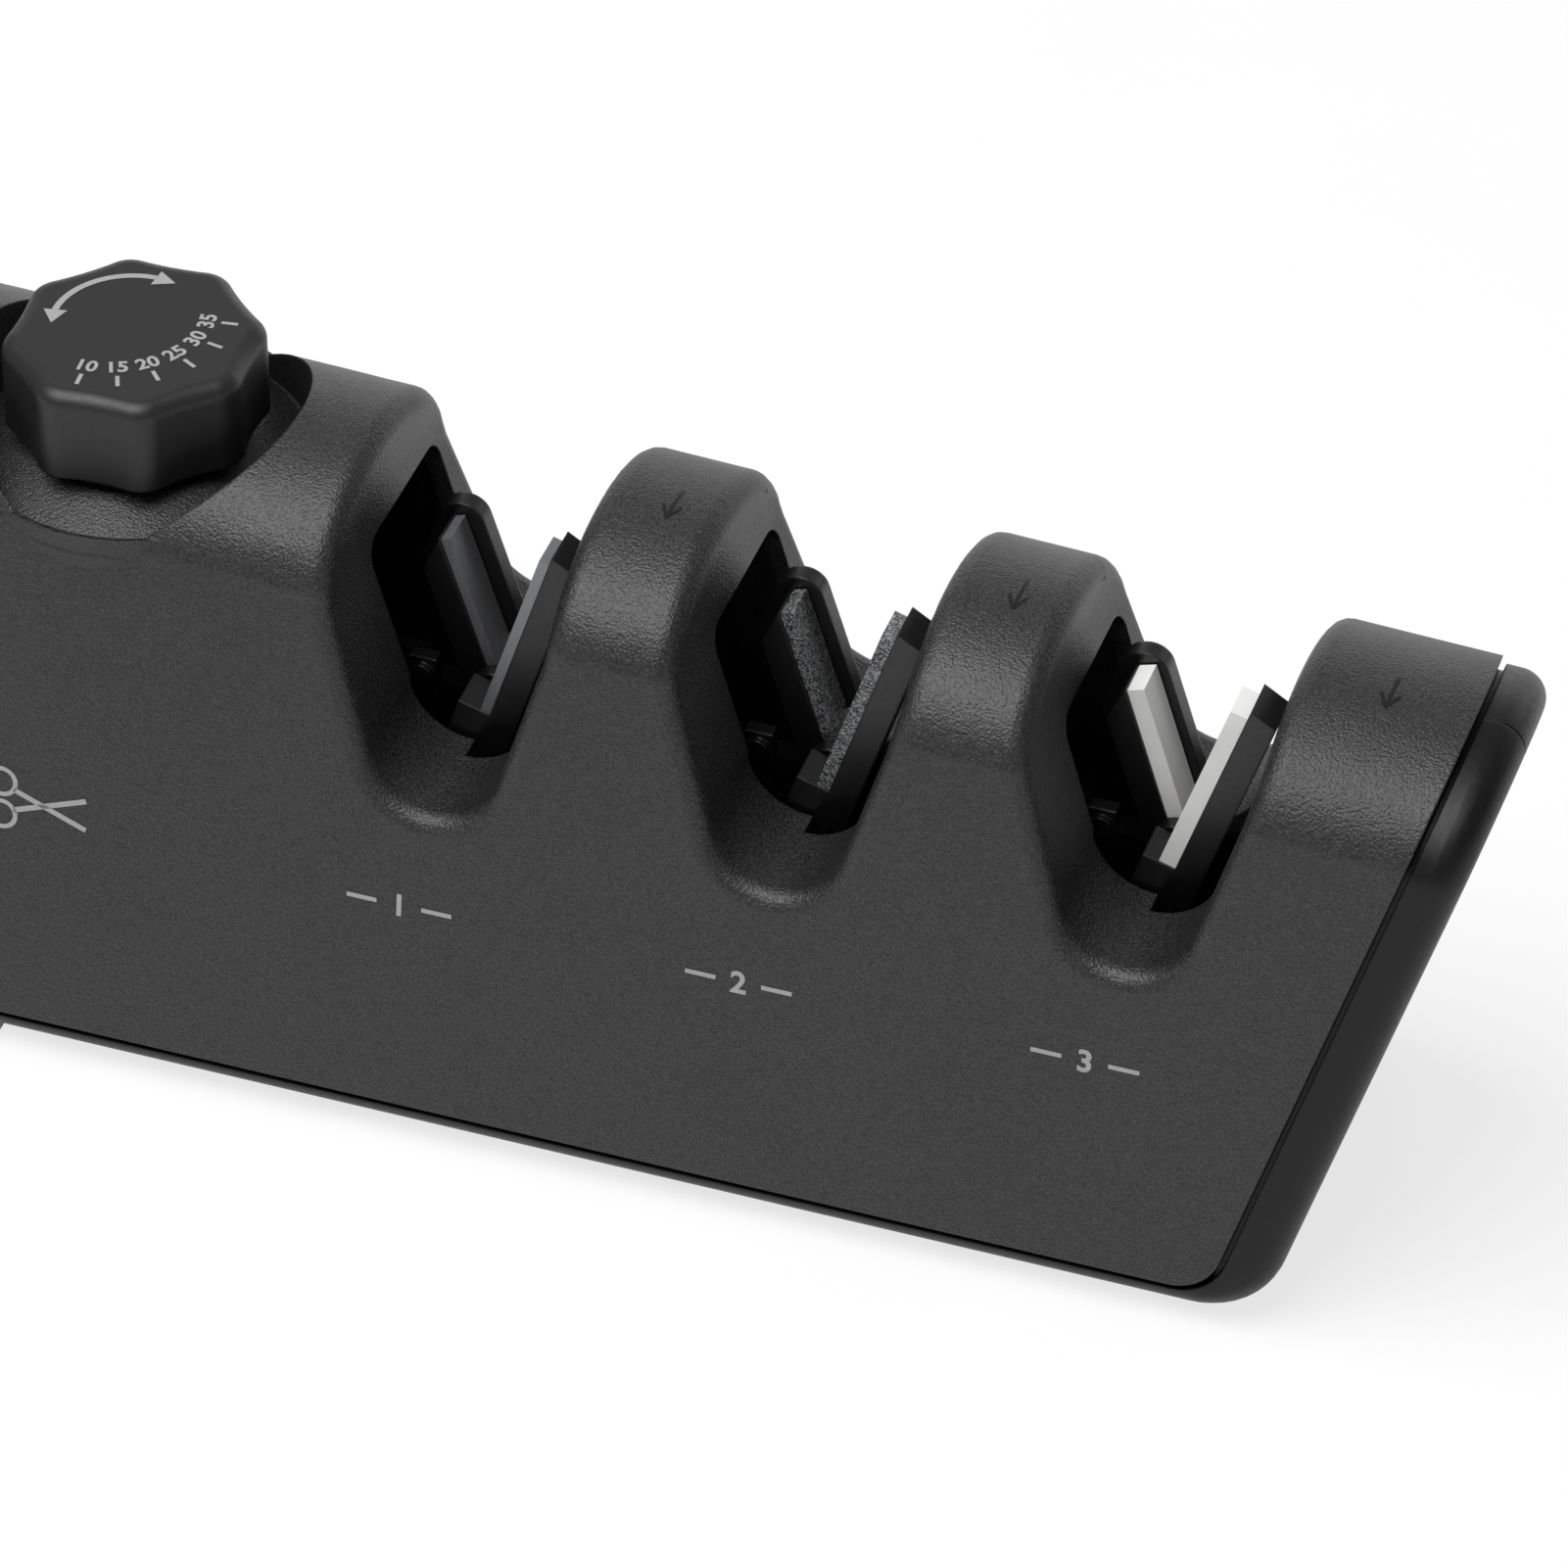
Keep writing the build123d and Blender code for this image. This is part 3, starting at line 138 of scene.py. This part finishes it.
def ground_carbide():
    """Ground tungsten carbide: smooth grey metal with fine grinding lines along the blade."""
    material, tree, place = start_material("ground_carbide")
    stretched = add_node(tree, "ShaderNodeMapping", {
        "Vector": place, "Scale": (1000 / 0.3, 1000 / 0.3, 1000 / 9.0)})
    lines = add_node(tree, "ShaderNodeTexNoise", {
        "Vector": stretched.outputs["Vector"], "Scale": 1.0, "Detail": 2.0})
    colour = add_node(tree, "ShaderNodeMix", {
        "Factor": lines.outputs["Fac"], "A": linear("#818285"), "B": linear("#9c9da0")}, data_type="RGBA")
    gloss = add_node(tree, "ShaderNodeMapRange", {
        "Value": lines.outputs["Fac"], "To Min": 0.42, "To Max": 0.58})
    bump = add_node(tree, "ShaderNodeBump", {
        "Height": lines.outputs["Fac"], "Strength": 0.3, "Distance": 0.02 * MM})
    shader = add_node(tree, "ShaderNodeBsdfPrincipled", {
        "Base Color": colour.outputs["Result"], "Roughness": gloss.outputs["Result"], "Metallic": 0.85,
        "Normal": bump.outputs["Normal"]})
    finish_material(tree, shader.outputs["BSDF"])
    return material


def diamond_on_steel(name, dark, light, grit_mm, sparkle):
    """Diamond grit bonded to steel with nickel: grey metal that glitters grain by grain."""
    material, tree, place = start_material(name)
    grit = add_node(tree, "ShaderNodeTexVoronoi", {"Vector": place, "Scale": 1000 / grit_mm})
    lumps = add_node(tree, "ShaderNodeTexNoise", {
        "Vector": place, "Scale": 1000 / (grit_mm * 4), "Detail": 2.0})
    tone = add_node(tree, "ShaderNodeSeparateColor", {"Color": grit.outputs["Color"]})
    colour = add_node(tree, "ShaderNodeMix", {
        "Factor": tone.outputs["Red"], "A": linear(dark), "B": linear(light)}, data_type="RGBA")
    gloss = add_node(tree, "ShaderNodeMapRange", {
        "Value": tone.outputs["Green"], "To Min": 0.25, "To Max": 0.6})
    base_bump = add_node(tree, "ShaderNodeBump", {
        "Height": lumps.outputs["Fac"], "Strength": 0.3, "Distance": 0.1 * MM})
    bump = add_node(tree, "ShaderNodeBump", {
        "Height": grit.outputs["Distance"], "Strength": sparkle, "Distance": 0.1 * MM,
        "Normal": base_bump.outputs["Normal"]})
    shader = add_node(tree, "ShaderNodeBsdfPrincipled", {
        "Base Color": colour.outputs["Result"], "Roughness": gloss.outputs["Result"], "Metallic": 0.85,
        "Normal": bump.outputs["Normal"]})
    finish_material(tree, shader.outputs["BSDF"])
    return material


def ground_ceramic():
    """Ground alumina ceramic: dense white with a faint grinding haze."""
    material, tree, place = start_material("ground_ceramic")
    haze = add_node(tree, "ShaderNodeTexNoise", {"Vector": place, "Scale": 1000 / 0.5, "Detail": 3.0})
    cloud = add_node(tree, "ShaderNodeTexNoise", {"Vector": place, "Scale": 1000 / 6.0, "Detail": 2.0})
    colour = add_node(tree, "ShaderNodeMix", {
        "Factor": cloud.outputs["Fac"], "A": linear("#dcdcda"), "B": linear("#f1f1ef")}, data_type="RGBA")
    bump = add_node(tree, "ShaderNodeBump", {
        "Height": haze.outputs["Fac"], "Strength": 0.25, "Distance": 0.02 * MM})
    shader = add_node(tree, "ShaderNodeBsdfPrincipled", {
        "Base Color": colour.outputs["Result"], "Roughness": 0.42, "IOR": 1.76,
        "Subsurface Weight": 0.08, "Subsurface Scale": 0.6 * MM, "Normal": bump.outputs["Normal"]})
    finish_material(tree, shader.outputs["BSDF"])
    return material


def zinc_plated_steel():
    """Zinc-plated steel: pale grey metal with fine drawing lines."""
    material, tree, place = start_material("zinc_plated_steel")
    lines = add_node(tree, "ShaderNodeTexNoise", {"Vector": place, "Scale": 1000 / 0.25, "Detail": 2.0})
    gloss = add_node(tree, "ShaderNodeMapRange", {
        "Value": lines.outputs["Fac"], "To Min": 0.25, "To Max": 0.5})
    bump = add_node(tree, "ShaderNodeBump", {
        "Height": lines.outputs["Fac"], "Strength": 0.15, "Distance": 0.02 * MM})
    shader = add_node(tree, "ShaderNodeBsdfPrincipled", {
        "Base Color": linear("#b9babb"), "Roughness": gloss.outputs["Result"], "Metallic": 1.0,
        "Normal": bump.outputs["Normal"]})
    finish_material(tree, shader.outputs["BSDF"])
    return material


def moulded_acetal():
    """Black acetal as moulded: smooth, with the dull shine of a sliding part."""
    material, tree, place = start_material("moulded_acetal")
    flow = add_node(tree, "ShaderNodeTexNoise", {"Vector": place, "Scale": 1000 / 9.0, "Detail": 2.0})
    colour = add_node(tree, "ShaderNodeMix", {
        "Factor": flow.outputs["Fac"], "A": linear("#0c0c0d"), "B": linear("#141415")}, data_type="RGBA")
    shader = add_node(tree, "ShaderNodeBsdfPrincipled", {
        "Base Color": colour.outputs["Result"], "Roughness": 0.4, "IOR": 1.48})
    finish_material(tree, shader.outputs["BSDF"])
    return material


def moulded_rubber(name, dark, light, rough):
    """Moulded rubber: dull, with a dry bloom in soft patches."""
    material, tree, place = start_material(name)
    bloom = add_node(tree, "ShaderNodeTexNoise", {"Vector": place, "Scale": 1000 / 5.0, "Detail": 4.0})
    skin = add_node(tree, "ShaderNodeTexNoise", {"Vector": place, "Scale": 1000 / 0.4, "Detail": 2.0})
    colour = add_node(tree, "ShaderNodeMix", {
        "Factor": bloom.outputs["Fac"], "A": linear(dark), "B": linear(light)}, data_type="RGBA")
    bump = add_node(tree, "ShaderNodeBump", {
        "Height": skin.outputs["Fac"], "Strength": 0.4, "Distance": 0.05 * MM})
    shader = add_node(tree, "ShaderNodeBsdfPrincipled", {
        "Base Color": colour.outputs["Result"], "Roughness": rough, "IOR": 1.5,
        "Normal": bump.outputs["Normal"]})
    finish_material(tree, shader.outputs["BSDF"])
    return material


def pad_printed_ink(name, colour_a, colour_b, rough):
    """Pad-printed ink, also used as painted shade: thin and dull, slightly broken up by the grain below it.
    """
    material, tree, place = start_material(name)
    grain = add_node(tree, "ShaderNodeTexNoise", {"Vector": place, "Scale": 1000 / 0.3, "Detail": 2.0})
    colour = add_node(tree, "ShaderNodeMix", {
        "Factor": grain.outputs["Fac"], "A": linear(colour_a), "B": linear(colour_b)}, data_type="RGBA")
    shader = add_node(tree, "ShaderNodeBsdfPrincipled", {
        "Base Color": colour.outputs["Result"], "Roughness": rough, "IOR": 1.5})
    finish_material(tree, shader.outputs["BSDF"])
    return material


def paper_floor():
    """White background paper: it reads white to the camera and in reflections, and keeps a soft shadow."""
    material, tree, place = start_material("paper_floor")
    fibre = add_node(tree, "ShaderNodeTexNoise", {"Vector": place, "Scale": 40.0, "Detail": 3.0})
    tint = add_node(tree, "ShaderNodeMix", {
        "Factor": fibre.outputs["Fac"], "A": linear("#f0f0f0"), "B": linear("#f6f6f6")}, data_type="RGBA")
    paper = add_node(tree, "ShaderNodeBsdfDiffuse", {"Color": tint.outputs["Result"]})
    glow = add_node(tree, "ShaderNodeEmission", {"Color": (1, 1, 1, 1), "Strength": 1.0})
    rays = add_node(tree, "ShaderNodeLightPath")
    seen = add_node(tree, "ShaderNodeMath", {
        0: rays.outputs["Is Camera Ray"], 1: rays.outputs["Is Glossy Ray"]}, operation="MAXIMUM")
    seen = add_node(tree, "ShaderNodeMath", {
        0: seen.outputs[0], 1: rays.outputs["Is Transmission Ray"]}, operation="MAXIMUM")
    share = add_node(tree, "ShaderNodeMath", {0: seen.outputs[0], 1: 0.75}, operation="MULTIPLY")
    surface = add_node(tree, "ShaderNodeMixShader", {
        0: share.outputs[0], 1: paper.outputs["BSDF"], 2: glow.outputs["Emission"]})
    finish_material(tree, surface.outputs["Shader"])
    return material


# Flat shapes and the surfaces that they lie on

def mesh_piece(name, points, faces, material, body):
    """A new mesh of points in millimetres that moves with a body."""
    mesh = bpy.data.meshes.new(name)
    mesh.from_pydata([Vector(p) * MM for p in points], [], faces)
    mesh.materials.append(material)
    piece = bpy.data.objects.new(name, mesh)
    bpy.context.scene.collection.objects.link(piece)
    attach(piece, body)
    return piece


def front_point(x, z):
    """Point on the front face of the body, lifted by the print's thickness."""
    rise = FOOT_H + CREST_FALL * (SLOT_XS[1] - x)
    lean = atan(FLANK_LEAN)
    y = -(BASE_HALF - FLANK_LEAN * (z - rise))
    return (x, y - PRINT_LIFT * cos(lean), z + PRINT_LIFT * sin(lean))


def crest_point(x, y):
    """Point on the rounded crest, lifted by the print's thickness."""
    rise = FOOT_H + CREST_FALL * (SLOT_XS[1] - x)
    knee_y = BASE_HALF - FLANK_LEAN * KNEE_Z
    rx = knee_y / cos(asin((KNEE_Z - CREST_Z) / CREST_RZ))
    return (x, y, CREST_Z + rise + CREST_RZ * sqrt(1 - (y / rx) ** 2) + PRINT_LIFT)


def knob_point(x, y):
    """Point on the knob's flat top, lifted by the print's thickness."""
    return (KNOB_X + x, y, KNOB_TOP + PRINT_LIFT)


def stroke(points, width):
    """Corners and faces of a flat line of constant width through the points, in its own plane."""
    left, right = [], []
    for n, (x, y) in enumerate(points):
        ahead = points[min(n + 1, len(points) - 1)]
        behind = points[max(n - 1, 0)]
        run = Vector((ahead[0] - behind[0], ahead[1] - behind[1])).normalized() * width / 2
        left.append((x - run.y, y + run.x))
        right.append((x + run.y, y - run.x))
    count = len(points)
    corners = left + right
    faces = [(n, n + count, n + count + 1, n + 1) for n in range(count - 1)]
    return corners, faces


def arc(centre, radius, start, end, steps):
    """Points on an arc; angles in degrees."""
    return [
        (centre[0] + radius * cos(radians(start + (end - start) * n / steps)),
         centre[1] + radius * sin(radians(start + (end - start) * n / steps)))
        for n in range(steps + 1)]


def arrowhead(tip, heading, size):
    """A filled triangle with its point at tip, heading in degrees."""
    turn = Matrix.Rotation(radians(heading), 2)
    flare = size * 0.55
    corners = [Vector(tip) + turn @ Vector(c) for c in ((0, 0), (-size, flare), (-size, -flare))]
    return [tuple(c) for c in corners], [(0, 1, 2)]


def figures(text, height, weight):
    """The outline of plain figures as a flat mesh, centred on the origin: corners and faces."""
    figure_share = 0.72     # a figure is this much of its font's size
    curve = bpy.data.curves.new("figures", "FONT")
    curve.body = text
    curve.size = height / figure_share
    curve.offset = weight
    curve.align_x = "CENTER"
    curve.resolution_u = 4
    helper = bpy.data.objects.new("figures", curve)
    mesh = bpy.data.meshes.new_from_object(helper)
    points = [tuple(v.co[:2]) for v in mesh.vertices]
    faces = [tuple(p.vertices) for p in mesh.polygons]
    bpy.data.objects.remove(helper)
    bpy.data.curves.remove(curve)
    bpy.data.meshes.remove(mesh)
    low = min(p[1] for p in points)
    high = max(p[1] for p in points)
    return [(x, y - (low + high) / 2) for x, y in points], faces


def placed(shape, offset=(0, 0), turn=0.0):
    """A flat shape turned by so many degrees and then moved."""
    corners, faces = shape
    spin = Matrix.Rotation(radians(turn), 2)
    moved = [spin @ Vector(c) for c in corners]
    return [(c.x + offset[0], c.y + offset[1]) for c in moved], faces


def joined(shapes):
    """Several flat shapes as one."""
    corners, faces = [], []
    for shape_corners, shape_faces in shapes:
        start = len(corners)
        corners += shape_corners
        faces += [tuple(i + start for i in face) for face in shape_faces]
    return corners, faces


def print_on(name, shape, surface, material, body):
    """Lays a flat shape on a surface, each corner by the surface's own point function."""
    corners, faces = shape
    piece = mesh_piece(name, [surface(u, v) for u, v in corners], faces, material, body)
    return piece


# Finishes of the CAD nodes

FINISHES = {
    "casing": spark_eroded_abs(),
    "trim": satin_abs("satin_abs_trim", "#060607", "#0b0b0c", 0.42, sheen=0.28),
    "knob": satin_abs("satin_abs_knob", "#121213", "#1b1b1c", 0.46, grain_mm=0.4),
    "holder": satin_abs("satin_nylon_holder", "#070707", "#0d0d0d", 0.33),
    "acetal": moulded_acetal(),
    "coarse": ground_carbide(),
    "medium": diamond_on_steel("medium_diamond_plate", "#3e3f41", "#b4b5b7", 0.22, 0.9),
    "ceramic": ground_ceramic(),
    "steel": zinc_plated_steel(),
    "grip": moulded_rubber("soft_touch_rubber", "#1a1a1b", "#262627", 0.7),
    "foot": moulded_rubber("grey_foot_rubber", "#a9a9a8", "#bcbcba", 0.6),
}
FINISH_OF = {
    "upper_casing": "casing", "base_frame": "trim", "end_cap": "trim", "chassis": "holder",
    "front_slide": "acetal", "back_slide": "acetal", "cam_disc": "acetal", "angle_knob": "knob",
    "detent_leaf": "steel", "scissor_insert": "holder", "front_rod": "ceramic", "back_rod": "ceramic",
    "handle_front": "trim", "handle_back": "trim", "soft_grip": "grip", "left_foot": "foot",
    "right_foot": "foot", "casing_screws": "steel", "chassis_screws": "steel", "cam_screw": "steel",
    "handle_screws": "steel"}
for number, plate in ((1, "coarse"), (2, "medium"), (3, "ceramic")):
    FINISH_OF[f"pivot_pin_{number}"] = "steel"
    for side in ("left", "right"):
        FINISH_OF[f"{side}_holder_{number}"] = "holder"
        FINISH_OF[f"{side}_plate_{number}"] = plate
for node, finish in FINISH_OF.items():
    for material_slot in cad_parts[node].material_slots:
        material_slot.material = FINISHES[finish]

grey_ink = pad_printed_ink("grey_pad_print", "#8d8d8d", "#a6a6a6", 0.6)
# The arrows on the ridges are moulded in the same plastic; their smoother strokes carry painted shade, a
# darker colour standing in for the shade in the shallow strokes
arrow_painted_shade = pad_printed_ink("arrow_painted_groove_shade", "#0a0a0a", "#101010", 0.35)

# Signs: plain numbers with a rule on each side, one below each knife slot
NUMBER_H = 2.5
NUMBER_SHIFT = -2.6             # from the slot's middle to its number
NUMBER_Z = 28.5
RULE_FROM, RULE_TO = 2.4, 5.6
RULE_W = 0.5
for number, x in enumerate(SLOT_XS, start=1):
    spot = (x + NUMBER_SHIFT, NUMBER_Z)
    sign = joined([
        placed(figures(str(number), NUMBER_H, 0.09), spot),
        placed(stroke([(-RULE_TO, 0), (-RULE_FROM, 0)], RULE_W), spot),
        placed(stroke([(RULE_FROM, 0), (RULE_TO, 0)], RULE_W), spot)])
    print_on(f"slot_sign_{number}", sign, front_point, grey_ink, "casing")

# A plain pair of scissors below the scissor slot
SCISSORS_SPOT = (-8.6, 30.6)
LOOP_R, LOOP_W = 1.5, 0.5
BLADE_W = 0.6
loops = [placed(stroke(arc((0, 0), LOOP_R, 0, 360, 28), LOOP_W), (-2.6, side * 1.9)) for side in (1, -1)]
blades = [placed(stroke([(-1.3, side * 1.2), (6.6, -side * 1.7)], BLADE_W)) for side in (1, -1)]
scissors = placed(joined(loops + blades), SCISSORS_SPOT)
print_on("scissor_sign", scissors, front_point, grey_ink, "casing")

# Arrows on the ridges, in the direction that a blade is drawn: a fine shaft and an open head each
ARROW_STARTS = ((53.6, 2.6), (89.6, 2.0), (127.6, 1.25))
SHAFT_L = 4.6
HEAD_L = 1.9
HEAD_HALF = 0.95
LINE_W = 0.36
LINE_STEPS = 10                 # so that a line follows the round crest
for number, (x, y) in enumerate(ARROW_STARTS, start=1):
    tip = (x - 0.1, y - SHAFT_L)
    ends = [(x, y), (tip[0] - HEAD_HALF, tip[1] + HEAD_L), (tip[0] + HEAD_HALF, tip[1] + HEAD_L)]
    lines = [
        [tuple(Vector(end).lerp(Vector(tip), n / LINE_STEPS)) for n in range(LINE_STEPS + 1)]
        for end in ends]
    arrow = joined([stroke(line, LINE_W) for line in lines])
    # painted shade: the darker strokes stand in for the shade of the moulded grooves
    print_on(f"draw_arrow_{number}", arrow, crest_point, arrow_painted_shade, "casing")

# The knob's dial: numbers with ticks, and a double arrow for its two ways of turning
DIAL_CENTRE = (-3.06, 2.5)
DIAL_START = -85.2
DIAL_STEP = 18.8
DIAL_R = 9.42
DIAL_FIGURE_H = 1.7
TICK_FROM, TICK_TO = 10.9, 12.6
TICK_W = 0.42
dial = []
for step in range(6):
    angle = DIAL_START + DIAL_STEP * step
    heading = Vector((cos(radians(angle)), sin(radians(angle))))
    spot = Vector(DIAL_CENTRE) + DIAL_R * heading
    tick = [tuple(Vector(DIAL_CENTRE) + reach * heading) for reach in (TICK_FROM, TICK_TO)]
    dial.append(placed(figures(str(10 + 5 * step), DIAL_FIGURE_H, 0.07), spot, angle + 90))
    dial.append(stroke(tick, TICK_W))

ARROW_CENTRE = (-1.0, 1.2)
ARROW_R = 7.8
ARROW_W = 0.7
ARROW_FROM, ARROW_TO = 92, 184  # degrees
HEAD_REACH = 16.2               # degrees from the bow's end to a head's tip
HEAD_TURN = 97                  # a head's direction, turned from its radius
HEAD_SIZE = 2.2
dial.append(stroke(arc(ARROW_CENTRE, ARROW_R, ARROW_FROM, ARROW_TO, 24), ARROW_W))
for angle, way in ((ARROW_FROM, -1), (ARROW_TO, 1)):
    tip = arc(ARROW_CENTRE, ARROW_R, angle, angle + way * HEAD_REACH, 1)[1]
    dial.append(arrowhead(tip, angle + way * HEAD_TURN, HEAD_SIZE))
print_on("dial_print", joined(dial), knob_point, grey_ink, "knob")

# Floor, light and camera

bpy.ops.mesh.primitive_plane_add(size=12)
floor = bpy.context.object
floor.name = "floor"
floor.data.materials.append(paper_floor())


def softbox(name, place, target, width, depth, watts):
    """A large rectangular lamp that faces the target."""
    lamp = bpy.data.lights.new(name, "AREA")
    lamp.shape = "RECTANGLE"
    lamp.size = width
    lamp.size_y = depth
    lamp.energy = watts
    holder = bpy.data.objects.new(name, lamp)
    bpy.context.scene.collection.objects.link(holder)
    holder.location = place
    holder.rotation_euler = (Vector(target) - Vector(place)).to_track_quat("-Z", "Y").to_euler()


LAMP_TARGET = (0.05, 0, 0.05)
softbox("front_softbox", (-0.2, -0.36, 1.12), LAMP_TARGET, 1.0, 0.95, 17)
softbox("back_softbox", (0.0, 1.5, 0.4), LAMP_TARGET, 2.4, 0.7, 7)

world = bpy.data.worlds.new("studio")
bpy.context.scene.world = world
world.use_nodes = True
room = world.node_tree
room.nodes.clear()
room_rays = add_node(room, "ShaderNodeLightPath")
room_level = add_node(room, "ShaderNodeMapRange", {
    "Value": room_rays.outputs["Is Camera Ray"], "To Min": 0.23, "To Max": 1.0})
room_light = add_node(room, "ShaderNodeBackground", {
    "Color": (1, 1, 1, 1), "Strength": room_level.outputs["Result"]})
add_node(room, "ShaderNodeOutputWorld", {"Surface": room_light.outputs["Background"]})

# The camera of the photograph: long lens, seen from the front right and above
AZIMUTH = radians(18.75)
ELEVATION = radians(39.66)
ROLL = radians(0.47)
TARGET = Vector((64.72, 0, 36.53)) * MM
DISTANCE = 859 * MM
PHOTO_WIDTH = 1601              # pixels
FOCAL_PIXELS = 8717
SENSOR = 36
back = Vector((sin(AZIMUTH) * cos(ELEVATION), -cos(AZIMUTH) * cos(ELEVATION), sin(ELEVATION)))
right = Vector((cos(AZIMUTH), sin(AZIMUTH), 0))
up = back.cross(right)
right, up = cos(ROLL) * right + sin(ROLL) * up, cos(ROLL) * up - sin(ROLL) * right
lens = bpy.data.cameras.new("camera")
lens.lens = FOCAL_PIXELS / PHOTO_WIDTH * SENSOR
lens.sensor_width = SENSOR
lens.shift_x = 0.0034
lens.clip_start = 0.05
camera = bpy.data.objects.new("camera", lens)
bpy.context.scene.collection.objects.link(camera)
turned = Matrix((right, up, back)).transposed().to_4x4()
camera.matrix_world = Matrix.Translation(TARGET + back * DISTANCE) @ turned
bpy.context.scene.camera = camera

bpy.context.scene.view_settings.view_transform = "Standard"
